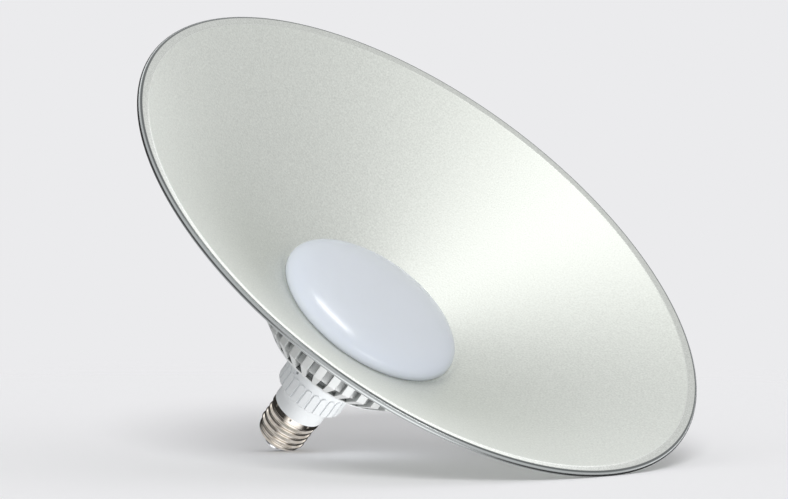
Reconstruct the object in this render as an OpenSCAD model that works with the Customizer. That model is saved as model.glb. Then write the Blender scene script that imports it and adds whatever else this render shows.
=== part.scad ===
// High bay lamp: wide spun reflector, opal diffuser, finned die-cast body, moulded neck and a screw cap.
// The lamp hangs cap up. The origin is on the axis, in the plane on which the rolled rim rests.

/* [Reflector] */
// Outer diameter over the rolled rim
shade_d = 320; // [260:1:400]
// Height from the rim plane to the front face of the flat land
shade_h = 54.2; // [44:0.1:80]
// Thickness of the spun sheet
sheet_t = 0.9; // [0.6:0.1:1.2]
// Diameter of the rolled bead at the rim
bead_d = 3.2; // [2.8:0.1:5]
// Opening left where the rolled edge meets the sheet
curl_gap = 0.5; // [0.3:0.1:0.8]
// Width of the flatter band just inside the bead
flare_w = 4; // [2:0.5:8]
// Slope of that band
flare_angle = 12; // [5:1:20]
// Width of the flat land that the body clamps
land_w = 4.4; // [3.5:0.1:8]

/* [Diffuser] */
// How far the diffuser's lip covers the land
lip_overlap = 3.1; // [1.5:0.1:3.5]
// Height of the straight edge below the dome
lip_h = 1.2; // [0.8:0.1:3]
// Height of the dome below its straight edge
dome_h = 12.2; // [6:0.1:30]
// Wall of the diffuser
diffuser_t = 1.8; // [1.2:0.1:2.2]
// Length of the skirt inside the body
skirt_h = 5.4; // [4:0.1:6]
// Height of the snap bead on the skirt
snap_h = 0.7; // [0.5:0.05:0.9]

/* [Heat sink] */
// Diameter over the teeth
crown_d = 105.2; // [100:0.1:130]
// Height of the straight part of the teeth
crown_h = 17.5; // [15:0.1:30]
// Diameter where the cone ends below the neck
cone_top_d = 80; // [76:0.1:84]
// Height of the cone
cone_h = 11.4; // [9:0.1:20]
// Number of teeth
teeth = 40; // [24:1:48]
// Width of the gap between two teeth
tooth_gap = 4; // [2.5:0.1:4.5]
// Radial depth of the gaps
tooth_depth = 5; // [3:0.1:7]
// Turn of the tooth pattern about the axis
tooth_phase = 1.8; // [0:0.1:15]
// Wall between the gaps and the diffuser's cup
cup_wall = 2; // [1.6:0.1:4]
// Depth of the cup in front of the mounting plate
cup_depth = 7.4; // [6.8:0.1:9]
// Thickness of the mounting plate
plate_t = 4; // [3:0.1:5]
// Wall between the gaps and the rear air space
back_wall = 1.6; // [1.2:0.1:2.5]
// Wall of the cone
cone_wall = 2.6; // [2:0.1:3]
// Height of the closed gap floor above the start of the cone
floor_rise = 2.7; // [1:0.1:3.5]
// Unslotted height at the end of the cone
slot_margin = 1.7; // [1.2:0.1:3]
// Thickness of the seat below the neck
seat_t = 2.5; // [2:0.1:3]

/* [Neck] */
// Outer diameter of the driver tube
tube_d = 59; // [56:0.1:62]
// Wall of the driver tube
tube_wall = 2; // [1.5:0.1:2.5]
// Step that leaves a seam line between cone and neck
seam_step = 0.4; // [0.2:0.1:1]
// Upright edge of the flange
flange_edge = 0.6; // [0.4:0.1:1.5]
// Height of the sloping shelf
shelf_h = 12.8; // [12:0.1:20]
// Diameter of the neck below the grip pads
neck_d = 36; // [34:0.1:38]
// Plain height between the shelf and the grip pads
smooth_h = 4.5; // [3:0.1:8]
// Height of the grip band
grip_h = 11.7; // [9:0.1:15]
// Number of grip pads
grip_count = 26; // [18:1:27]
// Width of a grip pad
grip_w = 3.5; // [2.5:0.1:3.7]
// How far a grip pad stands out
grip_proud = 0.5; // [0.3:0.1:1]
// Rounding height at the end of the grip band
shoulder_h = 0.8; // [0.4:0.1:1.5]
// Height of the plain collar
collar_h = 10.7; // [8:0.1:14]
// How far the plain collar stands out past the shell's skirt
collar_proud = 0.2; // [0.1:0.1:1.5]
// Wall of the neck
neck_wall = 2.2; // [1.8:0.1:2.6]
// Diameter of the breathing holes
vent_d = 2; // [1:0.1:2.5]
// Number of breathing holes
vents = 3; // [1:1:6]
// Direction of the first breathing hole
vent_phase = 308; // [0:1:359]
// Diameter of the screw bosses in the tube
boss_d = 6.4; // [5.6:0.1:7]
// Height of the screw bosses
boss_h = 13; // [11:0.5:16]
// How far a boss sinks into the tube's wall
boss_sink = 0.5; // [0.3:0.1:0.9]

/* [Screw cap] */
// Diameter of the shell's plain skirt
shell_d = 27; // [26.6:0.1:27.2]
// How far the thread's crest lies inside the skirt
crest_inset = 0.4; // [0.3:0.05:0.45]
// Rise of the thread in one turn
thread_pitch = 3.62; // [3.4:0.01:3.8]
// Depth of the rolled thread
thread_depth = 0.95; // [0.7:0.05:1]
// Length of the thread
thread_len = 14.1; // [12:0.1:16]
// Sheet of the shell
shell_t = 0.4; // [0.3:0.05:0.5]
// Height of the plain skirt
skirt_len = 4.2; // [3:0.1:6]
// Height of the rounded end
shell_end_h = 2.7; // [2:0.1:3.5]
// How far the rounded end closes in from the thread's root
shell_end_inset = 1.25; // [0.6:0.05:2]
// Number of crimp dents in the skirt
crimps = 8; // [4:1:12]
// Height of the insulator past the shell
insulator_h = 3.7; // [2.5:0.1:5]
// Diameter of the centre contact
contact_d = 9.8; // [8:0.1:11]
// Height of the centre contact
contact_h = 2.3; // [1.5:0.1:3]

/* [Light board] */
// Thickness of the aluminium-core board
board_t = 1.6; // [1:0.1:2]
// Thickness of the thermal pad
pad_t = 0.5; // [0.3:0.1:0.8]
// Gap from the board's edge to the skirt
board_gap = 1.4; // [0.5:0.1:3]
// Distance from the board's edge to the outer ring of light packages
led_edge = 3.5; // [2:0.1:5]
// Distance from the screws in to the middle ring
led_screw_gap = 6.2; // [5:0.1:7]
// Distance from the middle ring to the inner ring
led_step = 8; // [6:0.1:9]
// Light packages in the inner, middle and outer ring
led_counts = [8, 14, 24]; // [4:1:24]
// Length of a light package
led_l = 3.5; // [2:0.1:3.6]
// Width of a light package
led_w = 2.8; // [1.5:0.1:3]
// Height of a light package
led_h = 0.8; // [0.5:0.1:1]
// Diameter of the hole for the leads
lead_hole_d = 8; // [6:0.1:9]
// Distance from the board's edge to the board screws
board_screw_inset = 9.8; // [9.4:0.1:10.4]
// Thread diameter of the screws
screw_d = 2.9; // [2.5:0.1:3]
// Head diameter of the screws
head_d = 5.6; // [5:0.1:6]
// Head height of the board screws
head_h = 1.8; // [1.4:0.1:2.2]

/* [Driver] */
// Thickness of the circuit board
pcb_t = 1.6; // [1:0.1:2]
// Offset of the circuit board from the axis
pcb_y = -3; // [-4:0.1:-2]
// Diameter of the input capacitor
input_cap_d = 10; // [8:0.5:10]
// Height of the input capacitor
input_cap_h = 13; // [10:0.5:13]
// Diameter of the output capacitor
output_cap_d = 8; // [6:0.5:9]
// Height of the output capacitor
output_cap_h = 12; // [8:0.5:14]
// Diameter over the insulation of a lead
lead_d = 1.4; // [1:0.1:1.5]

/* [Fits] */
// Clearance of pieces that slide together
fit_gap = 0.4; // [0.2:0.05:0.5]
// Clearance of seated pieces
seat_gap = 0.1; // [0.05:0.01:0.15]

/* [Hidden] */
$fn = 64;
// Small overlap that makes cuts run clear of a face
eps = 0.01;

// Levels along the axis, from the rim plane up
z_land = shade_h;
z_body = z_land + sheet_t;
z_plate = z_body + cup_depth;
z_back = z_plate + plate_t;
z_flare = z_body + crown_h;
z_top = z_flare + cone_h;
z_neck = z_top + shelf_h;
z_grip = z_neck + smooth_h;
z_shoulder = z_grip + grip_h;
z_collar = z_shoulder + collar_h;
z_thread = z_collar + skirt_len;
z_shell_end = z_thread + thread_len + shell_end_h;
z_contact = z_shell_end + insulator_h;

// Radii that several pieces share
crown_r = crown_d / 2;
floor_r = crown_r - tooth_depth;
cup_r = floor_r - cup_wall;
skirt_r = cup_r - fit_gap;
lip_r = cup_r + lip_overlap;
cone_top_r = cone_top_d / 2;
tube_r = tube_d / 2;
tube_in_r = tube_r - tube_wall;
neck_r = neck_d / 2;
neck_in_r = neck_r - neck_wall;
skirt_in_r = skirt_r - diffuser_t;
board_r = skirt_in_r - board_gap;
shell_r = shell_d / 2;
collar_r = shell_r + collar_proud;
root_r = shell_r - crest_inset - thread_depth;
shell_in_r = root_r - shell_t;
spigot_r = shell_in_r - seat_gap;
spigot_in_r = spigot_r - 1.1;
shell_end_r = root_r - shell_end_inset;
board_screw_r = board_r - board_screw_inset;
neck_screw_r = tube_in_r + boss_sink - boss_d / 2;
led_rings = [board_screw_r - led_screw_gap - led_step, board_screw_r - led_screw_gap, board_r - led_edge];

// Copies the children around the axis
module around(count, radius, phase = 0) {
    for (i = [0 : count - 1])
        rotate(phase + i * 360 / count)
            translate([radius, 0, 0])
                children();
}

// Places the children in the three directions of the neck screws
module at_neck_screws() {
    around(3, neck_screw_r, 90) children();
}

// Places the children in the four directions of the board screws
module at_board_screws() {
    around(4, board_screw_r, 45) children();
}

// Reflector: one spun sheet with a land, a straight cone, a flatter band and an edge that is rolled
// over to the outside, where it ends just short of the sheet
bead_r = bead_d / 2;
bead_c = shade_d / 2 - bead_r;
flare_r = bead_c - flare_w;
flare_rise = flare_w * tan(flare_angle);
land_r = cup_r + land_w;
cone_slope = atan((z_land - flare_rise) / (flare_r - land_r));
cone_sheet_t = sheet_t / cos(cone_slope);

module reflector_section() {
    polygon([
        [cup_r, z_land],
        [land_r, z_land],
        [flare_r, flare_rise],
        [bead_c, 0],
        [bead_c, sheet_t],
        [flare_r, flare_rise + cone_sheet_t],
        [land_r + sheet_t * tan(cone_slope / 2), z_land + sheet_t],
        [cup_r, z_land + sheet_t]
    ]);
    difference() {
        translate([bead_c, bead_r])
            difference() {
                circle(bead_r);
                circle(bead_r - sheet_t);
            }
        translate([bead_c, sheet_t])
            rotate(180 - flare_angle)
                translate([0, -curl_gap])
                    square([bead_d, curl_gap + sheet_t / 3]);
    }
}

module reflector() {
    color([0.77, 0.78, 0.76])
        rotate_extrude()
            reflector_section();
}

// Diffuser: elliptic dome with a straight edge, a lip that clamps the reflector and a snap skirt
z_dome = z_land - lip_h;
function dome_arc(rx, rz) = [for (t = [0 : 5 : 90]) [rx * cos(t), z_dome - rz * sin(t)]];
z_skirt_end = z_body + skirt_h;
snap_z = z_skirt_end - 1.8;
snap_flank = 0.8;

module diffuser() {
    color([0.82, 0.85, 0.9])
        rotate_extrude()
            difference() {
                polygon(concat(
                    [
                        [0, z_skirt_end],
                        [skirt_r, z_skirt_end],
                        [skirt_r, snap_z + snap_flank],
                        [skirt_r + snap_h, snap_z],
                        [skirt_r, snap_z - snap_flank],
                        [skirt_r, z_land],
                        [lip_r, z_land]
                    ],
                    dome_arc(lip_r, dome_h)
                ));
                polygon(concat(
                    [[0, z_skirt_end + eps], [skirt_in_r, z_skirt_end + eps]],
                    dome_arc(skirt_in_r, dome_h - diffuser_t)
                ));
            }
}

// Heat sink: cup with mounting plate, crown of teeth, and a slotted cone over the rear air space
cone_run = crown_r - cone_top_r;
cone_len = sqrt(cone_run * cone_run + cone_h * cone_h);
wall_dr = cone_wall * cone_h / cone_len;
wall_dz = cone_wall * cone_run / cone_len;
back_r = floor_r - back_wall;
z_back_corner = z_flare - wall_dz + (crown_r - wall_dr - back_r) * cone_h / cone_run;
z_floor_end = z_flare + floor_rise;
z_slot_end = z_top - slot_margin;
slot_in_r = crown_r - (z_slot_end - z_flare) * cone_run / cone_h - cone_wall;
tube_hole_r = tube_r + fit_gap;
seat_under_z = z_top - seat_t;
seat_under_r = cone_top_r - wall_dr + (z_top - wall_dz - seat_under_z) * cone_run / cone_h;
groove_r = skirt_r + snap_h + seat_gap;

module heat_sink_section() {
    difference() {
        polygon([
            [0, z_body],
            [crown_r, z_body],
            [crown_r, z_flare],
            [cone_top_r, z_top],
            [0, z_top]
        ]);
        translate([0, z_body - eps])
            square([cup_r, cup_depth + eps]);
        polygon([
            [cup_r - eps, snap_z - snap_flank - fit_gap],
            [groove_r, snap_z],
            [cup_r - eps, snap_z + snap_flank + fit_gap]
        ]);
        polygon([
            [0, z_back],
            [back_r, z_back],
            [back_r, z_back_corner],
            [seat_under_r, seat_under_z],
            [0, seat_under_z]
        ]);
        translate([0, seat_under_z - eps])
            square([tube_hole_r, seat_t + 2 * eps]);
    }
}

// One gap between two teeth, with the slot that opens into the rear air space
module tooth_cut() {
    translate([floor_r, -tooth_gap / 2, z_body - 1])
        cube([tooth_depth + 1, tooth_gap, z_floor_end - z_body + 1]);
    translate([slot_in_r, -tooth_gap / 2, z_floor_end - eps])
        cube([crown_r - slot_in_r + 1, tooth_gap, z_slot_end - z_floor_end + eps]);
}

module heat_sink() {
    color([0.87, 0.88, 0.87])
        difference() {
            rotate_extrude()
                heat_sink_section();
            around(teeth, 0, tooth_phase + 180 / teeth)
                tooth_cut();
            translate([0, 0, z_plate - eps])
                cylinder(h = plate_t + 2 * eps, d = lead_hole_d);
            at_board_screws()
                translate([0, 0, z_plate - eps])
                    cylinder(h = plate_t + 2 * eps, d = screw_d + seat_gap);
            at_neck_screws()
                translate([0, 0, z_plate - eps]) {
                    cylinder(h = plate_t + 2 * eps, d = screw_d + 2 * seat_gap);
                    cylinder(h = sink_h + eps, d1 = head_d + 2 * seat_gap, d2 = screw_d + 2 * seat_gap);
                }
        }
}

// Neck: one moulding with driver tube, flange, shelf, grip pads, collar and the spigot for the shell
disc_t = 1;
z_tube = z_back + disc_t;
flange_r = cone_top_r - seam_step;
z_shelf = z_top + flange_edge;
shelf_slope = (z_neck - z_shelf) / (flange_r - neck_r);
recess_r = tube_r + neck_wall;
z_recess = z_shelf + (flange_r - recess_r) * shelf_slope - neck_wall;
recess_out_r = recess_r + (z_recess - z_top) / shelf_slope;
z_inner_shelf = z_neck - 0.8;
z_inner_foot = z_top + neck_wall;
step_r = shell_r - shell_t - seat_gap;
step_h = skirt_len - 0.8;
spigot_end_z = z_thread + thread_len - 1.5;
collar_blend = 4;
boss_lift = 0.3;

module neck_section() {
    difference() {
        polygon([
            [0, z_tube],
            [tube_r, z_tube],
            [tube_r, z_top],
            [flange_r, z_top],
            [flange_r, z_shelf],
            [neck_r, z_neck],
            [neck_r, z_shoulder - shoulder_h],
            [neck_r - shoulder_h, z_shoulder],
            [collar_r + shoulder_h, z_shoulder + shoulder_h],
            [collar_r, z_shoulder + shoulder_h + collar_blend],
            [collar_r, z_collar],
            [step_r, z_collar],
            [step_r, z_collar + step_h],
            [spigot_r, z_collar + step_h + 0.6],
            [spigot_r, spigot_end_z],
            [0, spigot_end_z]
        ]);
        polygon([
            [0, z_tube - eps],
            [tube_in_r, z_tube - eps],
            [tube_in_r, z_inner_foot],
            [neck_in_r, z_inner_shelf],
            [neck_in_r, z_shoulder - neck_wall],
            [spigot_in_r, z_shoulder + shoulder_h],
            [spigot_in_r, spigot_end_z + eps],
            [0, spigot_end_z + eps]
        ]);
        polygon([
            [recess_r, z_top - eps],
            [recess_out_r, z_top - eps],
            [recess_r, z_recess]
        ]);
    }
}

// Flat grip pad with a round end towards the shelf, which stops just before the rounding
pad_stop = 0.3;

module grip_pad() {
    pad_h = grip_h - shoulder_h - pad_stop - grip_w / 2;
    translate([neck_r - 1, 0, z_grip + grip_w / 2])
        rotate([90, 0, 90])
            linear_extrude(height = 1 + grip_proud) {
                translate([-grip_w / 2, 0])
                    square([grip_w, pad_h]);
                circle(d = grip_w);
            }
}

// Pair of ribs that hold one edge of the circuit board
rail_w = 1.4;
rail_reach = 2.2;
rail_h = 15;
z_rail = z_tube + 2;
pcb_side_gap = 0.84;
pcb_reach_y = abs(pcb_y) + pcb_t / 2;
pcb_edge = sqrt(tube_in_r * tube_in_r - pcb_reach_y * pcb_reach_y) - pcb_side_gap;

module board_rails(side) {
    rail_l = tube_in_r + tube_wall / 2 - pcb_edge + rail_reach;
    rail_x = tube_in_r + tube_wall / 2 - rail_l / 2;
    rail_y = pcb_t / 2 + seat_gap + rail_w / 2;
    for (face = [-1, 1])
        translate([side * rail_x, pcb_y + face * rail_y, z_rail + rail_h / 2])
            cube([rail_l, rail_w, rail_h], center = true);
}

module neck_housing() {
    color([0.94, 0.95, 0.96])
        difference() {
            union() {
                rotate_extrude()
                    neck_section();
                around(grip_count, 0, 180 / grip_count)
                    grip_pad();
                at_neck_screws()
                    translate([0, 0, z_tube + boss_lift])
                        cylinder(h = boss_h - boss_lift, d = boss_d);
                board_rails(-1);
                board_rails(1);
            }
            at_neck_screws()
                translate([0, 0, z_tube - eps])
                    cylinder(h = boss_h - 1, d = screw_d + seat_gap);
            around(vents, 0, vent_phase)
                translate([neck_in_r - 1, 0, z_neck + smooth_h * 0.55])
                    rotate([0, 90, 0])
                        cylinder(h = neck_wall + 2, d = vent_d);
        }
}

// Screw shell: rolled sheet with a plain skirt, a helical thread and a rounded end
z_thread_end = z_thread + thread_len;
run_out = 1.6;
crimp_r = 0.9;

// Radius of the rolled thread at an angle and a height above its start: a round wave that
// climbs one pitch in a turn and runs out at both ends
function thread_r(angle, height) =
    let (wave = 0.5 + 0.5 * cos(angle - 360 * height / thread_pitch))
    let (fade = min(1, height / run_out, (thread_len - height) / run_out))
    root_r + thread_depth * wave * fade;

module thread_body() {
    sides = 32;
    steps = ceil(8 * thread_len / thread_pitch);
    points = [
        for (k = [0 : steps], i = [0 : sides - 1])
            let (height = thread_len * k / steps, angle = 360 * i / sides, r = thread_r(angle, height))
            [r * cos(angle), r * sin(angle), z_thread + height]
    ];
    walls = [
        for (k = [0 : steps - 1], i = [0 : sides - 1])
            let (here = k * sides + i, next = k * sides + (i + 1) % sides)
            each [[here, here + sides, next + sides], [here, next + sides, next]]
    ];
    foot = [for (i = [0 : sides - 1]) i];
    head = [for (i = [sides - 1 : -1 : 0]) steps * sides + i];
    polyhedron(points, concat(walls, [foot, head]));
}

// Skirt and rounded end, each with a collar that reaches into the threaded part
bind = 0.12;
bind_h = 0.6;

module shell_skirt_and_end() {
    rotate_extrude()
        polygon([
            [0, z_collar],
            [shell_r, z_collar],
            [shell_r, z_thread - 0.8],
            [root_r + 0.15, z_thread],
            [root_r - bind, z_thread],
            [root_r - bind, z_thread + bind_h],
            [0, z_thread + bind_h]
        ]);
    rotate_extrude()
        polygon([
            [0, z_thread_end - bind_h],
            [root_r - bind, z_thread_end - bind_h],
            [root_r - bind, z_thread_end],
            [root_r + 0.15, z_thread_end],
            [root_r - 0.15, z_thread_end + shell_end_h * 0.55],
            [shell_end_r, z_shell_end],
            [0, z_shell_end]
        ]);
}

module screw_shell() {
    color([0.74, 0.72, 0.68])
        difference() {
            union() {
                thread_body();
                shell_skirt_and_end();
            }
            rotate_extrude()
                polygon([
                    [0, z_collar - eps],
                    [shell_r - shell_t, z_collar - eps],
                    [shell_r - shell_t, z_collar + step_h + 0.1],
                    [shell_in_r, z_collar + step_h + 0.7],
                    [shell_in_r, z_thread_end],
                    [shell_in_r - 0.15, z_thread_end + shell_end_h * 0.55],
                    [shell_end_r - shell_t, z_shell_end + eps],
                    [0, z_shell_end + eps]
                ]);
            around(crimps, shell_r + crimp_r - shell_t * 0.6)
                translate([0, 0, z_collar + 1.2])
                    sphere(r = crimp_r, $fn = 24);
        }
}

// Cap insulator: glass disc held by the shell's end, with a hole for the contact's stem
insulator_foot = 1.6;
stem_r = 1.5;
stem_l = 2.6;
contact_r = contact_d / 2;

module cap_insulator() {
    color([0.13, 0.13, 0.14])
        rotate_extrude()
            polygon([
                [stem_r + seat_gap, z_shell_end - insulator_foot],
                [shell_end_r - shell_t - seat_gap, z_shell_end - insulator_foot],
                [shell_end_r - shell_t - seat_gap, z_shell_end],
                [shell_end_r - 1.6, z_shell_end + 0.8],
                [contact_r + 1, z_contact - 0.5],
                [contact_r + 0.5, z_contact],
                [stem_r + seat_gap, z_contact]
            ]);
}

module centre_contact() {
    color([0.8, 0.79, 0.76])
        rotate_extrude()
            polygon([
                [0, z_contact - stem_l],
                [stem_r, z_contact - stem_l],
                [stem_r, z_contact],
                [contact_r, z_contact],
                [contact_r, z_contact + contact_h * 0.45],
                [contact_r * 0.88, z_contact + contact_h * 0.8],
                [contact_r * 0.62, z_contact + contact_h],
                [0, z_contact + contact_h]
            ]);
}

// Light board, its packages, the thermal pad and the screws
z_board = z_plate - pad_t - board_t;
board_hole_r = lead_hole_d / 2 + 1.5;

module board_outline(height) {
    difference() {
        cylinder(h = height, r = board_r);
        translate([0, 0, -eps])
            cylinder(h = height + 2 * eps, r = board_hole_r);
        at_board_screws()
            translate([0, 0, -eps])
                cylinder(h = height + 2 * eps, d = screw_d + seat_gap);
    }
}

module led_board() {
    color([0.93, 0.94, 0.92])
        translate([0, 0, z_board])
            board_outline(board_t);
}

module thermal_pad() {
    color([0.55, 0.6, 0.66])
        translate([0, 0, z_plate - pad_t])
            board_outline(pad_t);
}

module led_packages() {
    color([0.95, 0.85, 0.35])
        for (ring = [0 : len(led_rings) - 1])
            around(led_counts[ring], led_rings[ring], 180 / led_counts[ring])
                translate([0, 0, z_board - led_h / 2])
                    cube([led_w, led_l, led_h], center = true);
}

// Pan-head screw, head down, with a cross recess
module board_screws() {
    color([0.7, 0.7, 0.72])
        at_board_screws()
            difference() {
                union() {
                    translate([0, 0, z_board - head_h])
                        cylinder(h = head_h, d1 = head_d * 0.8, d2 = head_d);
                    translate([0, 0, z_board - eps])
                        cylinder(h = board_t + pad_t + plate_t - 0.5, d = screw_d);
                }
                for (turn = [0, 90])
                    rotate(turn)
                        translate([0, 0, z_board - head_h])
                            cube([head_d * 0.55, 0.6, head_h], center = true);
            }
}

// Countersunk screw through the plate into a boss of the neck
sink_h = 1.5;
neck_screw_l = 14;

module neck_screws() {
    color([0.7, 0.7, 0.72])
        at_neck_screws()
            translate([0, 0, z_plate])
                difference() {
                    union() {
                        cylinder(h = sink_h, d1 = head_d, d2 = screw_d);
                        cylinder(h = neck_screw_l, d = screw_d);
                    }
                    for (turn = [0, 90])
                        rotate(turn)
                            cube([head_d * 0.5, 0.6, 1.6], center = true);
                }
}

module insulating_disc() {
    color([0.85, 0.82, 0.7])
        translate([0, 0, z_back])
            difference() {
                cylinder(h = disc_t, r = tube_r);
                translate([0, 0, -eps])
                    cylinder(h = disc_t + 2 * eps, r = grommet_r + seat_gap);
                at_neck_screws()
                    translate([0, 0, -eps])
                        cylinder(h = disc_t + 2 * eps, d = screw_d + 2 * seat_gap);
            }
}

// Grommet in the plate's lead hole, flanged on both faces
grommet_r = lead_hole_d / 2 + 1.2;
grommet_flange = 0.9;
grommet_bore_r = lead_d + 1;

module lead_grommet() {
    color([0.3, 0.3, 0.32])
        rotate_extrude()
            polygon([
                [grommet_bore_r, z_plate - grommet_flange],
                [grommet_r, z_plate - grommet_flange],
                [grommet_r, z_plate],
                [lead_hole_d / 2 - seat_gap, z_plate],
                [lead_hole_d / 2 - seat_gap, z_back],
                [grommet_r, z_back],
                [grommet_r, z_back + grommet_flange],
                [grommet_bore_r, z_back + grommet_flange]
            ]);
}

// Driver: an upright board in the tube, with its parts on both faces
pcb_front = pcb_y + pcb_t / 2;
pcb_back = pcb_y - pcb_t / 2;
pcb_tongue = neck_in_r - 1.8;
cap_rise = 8;
choke_r = 4;

// The capacitors and the core stand between the rails and share the room left between them
part_edge = pcb_edge - rail_reach;
core_l = pcb_edge * 0.7575;
part_room = 2 * part_edge - input_cap_d - core_l - output_cap_d;
input_x = input_cap_d / 2 - part_edge + part_room * 0.115;
core_x = input_x + input_cap_d / 2 + part_room * 0.096 + core_l / 2;
output_x = part_edge - part_room * 0.404 - output_cap_d / 2;
choke_x = core_x + core_l / 2 + choke_r + part_room * 0.29;
z_pcb = z_tube + 2;
z_pcb_step = z_inner_foot - 1.2;
z_pcb_tongue = z_inner_shelf - 0.4;
z_pcb_end = z_shoulder - neck_wall - 0.6;

// Stands the children on the board's front face at x, z
module on_front(x, z) {
    translate([x, pcb_front, z])
        rotate([-90, 0, 0])
            children();
}

// Stands the children on the board's back face at x, z
module on_back(x, z) {
    translate([x, pcb_back, z])
        rotate([90, 0, 0])
            children();
}

module driver_board() {
    color([0.2, 0.42, 0.25])
        translate([0, pcb_front, 0])
            rotate([90, 0, 0])
                linear_extrude(height = pcb_t)
                    polygon([
                        [-pcb_edge, z_pcb],
                        [pcb_edge, z_pcb],
                        [pcb_edge, z_pcb_step],
                        [pcb_tongue, z_pcb_tongue],
                        [pcb_tongue, z_pcb_end],
                        [-pcb_tongue, z_pcb_end],
                        [-pcb_tongue, z_pcb_tongue],
                        [-pcb_edge, z_pcb_step]
                    ]);
}

// Transformer: ferrite frame, flanged bobbin on its middle leg, and the winding between the flanges
core_h = 19;
core_t = 7;
leg_h = 6;
window_h = 3.5;
core_leg = 3.5;
window_l = core_l - 2 * core_leg;
bobbin_t = 0.6;
tunnel_y = core_t + 2 * bobbin_t;
tunnel_z = leg_h + 2 * bobbin_t;
bobbin_r = 6.3;
core_lift = bobbin_r + 0.4;
z_core = z_tube + 12.4;

module at_transformer() {
    translate([core_x, pcb_front + core_lift, z_core])
        children();
}

module transformer_core() {
    color([0.22, 0.22, 0.23])
        at_transformer()
            difference() {
                cube([core_l, core_t, core_h], center = true);
                for (side = [-1, 1])
                    translate([0, 0, side * (leg_h + window_h) / 2])
                        cube([window_l, core_t + 1, window_h], center = true);
            }
}

module transformer_bobbin() {
    color([0.12, 0.12, 0.13])
        at_transformer()
            difference() {
                union() {
                    cube([window_l - 2 * seat_gap, tunnel_y, tunnel_z], center = true);
                    for (side = [-1, 1])
                        translate([side * (window_l / 2 - 0.5), 0, 0]) {
                            rotate([0, 90, 0])
                                cylinder(h = 0.7, r = bobbin_r, center = true);
                            translate([0, -core_lift / 2, 0])
                                cube([0.7, core_lift, 8], center = true);
                        }
                }
                cube([window_l + 1, core_t + 2 * seat_gap, leg_h + 2 * seat_gap], center = true);
            }
}

module transformer_winding() {
    color([0.85, 0.75, 0.3])
        at_transformer()
            rotate([0, 90, 0])
                difference() {
                    cylinder(h = window_l - 2, r = bobbin_r - 0.3, center = true);
                    cube([tunnel_z + seat_gap, tunnel_y + seat_gap, window_l], center = true);
                }
}

// Can capacitor with a crimp groove near its foot
module can_capacitor(d, h) {
    difference() {
        cylinder(h = h, d = d);
        translate([0, 0, 1.2])
            rotate_extrude()
                translate([d / 2 + 0.3, 0])
                    circle(r = 0.6);
    }
}

module input_capacitor() {
    color([0.16, 0.18, 0.24])
        on_front(input_x, z_tube + cap_rise)
            can_capacitor(input_cap_d, input_cap_h);
}

module output_capacitor() {
    color([0.16, 0.18, 0.24])
        on_front(output_x, z_tube + cap_rise)
            can_capacitor(output_cap_d, output_cap_h);
}

module film_capacitor() {
    color([0.8, 0.68, 0.2])
        on_front(-4.5, z_neck + 4)
            translate([-7, -3.5, 0])
                cube([14, 7, 7.2]);
}

// Choke: a drum of ferrite with its waist wound
module choke() {
    color([0.35, 0.22, 0.14])
        on_front(choke_x, z_tube + 19.5) {
            cylinder(h = 1.4, r = choke_r);
            cylinder(h = 8, r = choke_r - 0.7);
            translate([0, 0, 6.6])
                cylinder(h = 1.4, r = choke_r);
        }
}

module bridge_rectifier() {
    color([0.1, 0.1, 0.11])
        on_back(-8, z_tube + 21)
            translate([-4, -3.2, 0])
                cube([8, 6.4, 2.6]);
}

module controller_chip() {
    color([0.1, 0.1, 0.11])
        on_back(5, z_tube + 17)
            translate([-2.5, -2, 0])
                cube([5, 4, 1.6]);
}

module power_transistor() {
    color([0.1, 0.1, 0.11])
        on_back(0, z_tube + 9)
            translate([-3.3, -3, 0])
                cube([6.6, 6, 2.3]);
}

// Fuse resistor: a body on two bent legs
fuse_l = 8;
fuse_lift = 2.4;

module fuse_resistor() {
    color([0.45, 0.62, 0.5])
        on_front(8, z_neck + 5)
            translate([0, 0, fuse_lift]) {
                rotate([90, 0, 0])
                    cylinder(h = fuse_l, r = 1.6, center = true);
                rotate([90, 0, 0])
                    cylinder(h = fuse_l + 2, r = 0.35, center = true);
                for (side = [-1, 1])
                    translate([0, side * (fuse_l / 2 + 0.8), -fuse_lift])
                        cylinder(h = fuse_lift + 0.3, r = 0.35);
            }
}

// Lead: straight runs of round wire with ball joints, a little larger than the wire, at the bends
joint_d = lead_d + 0.06;

module lead(points) {
    for (i = [0 : len(points) - 2]) {
        run = points[i + 1] - points[i];
        flat = norm([run.x, run.y]);
        translate(points[i])
            rotate([0, atan2(flat, run.z), atan2(run.y, run.x)])
                cylinder(h = norm(run), d = lead_d);
    }
    for (i = [1 : len(points) - 2])
        translate(points[i])
            sphere(d = joint_d);
}

z_solder = z_pcb_end - 2;
wire_x = 5;
wire_rise = 4;
wire_y = pcb_front + 2.6;
low_wire_y = pcb_front + 2.2;

module live_lead() {
    color([0.6, 0.2, 0.12])
        lead([
            [wire_x, pcb_front, z_solder],
            [wire_x, wire_y, z_solder],
            [wire_x - 2, wire_y, z_shoulder + wire_rise],
            [0, 0, z_shell_end - 2 * wire_rise],
            [0, 0, z_contact - stem_l]
        ]);
}

module neutral_lead() {
    z_turn = spigot_end_z + lead_d / 2 + 0.1;
    wall_x = sqrt(shell_in_r * shell_in_r - lead_d * lead_d / 4);
    color([0.2, 0.3, 0.6])
        lead([
            [-wire_x, pcb_front, z_solder],
            [-wire_x, wire_y, z_solder],
            [-wire_x - 1, wire_y, z_shoulder + wire_rise],
            [-spigot_in_r + 1.4, 0, z_turn],
            [-wall_x, 0, z_turn]
        ]);
}

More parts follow.
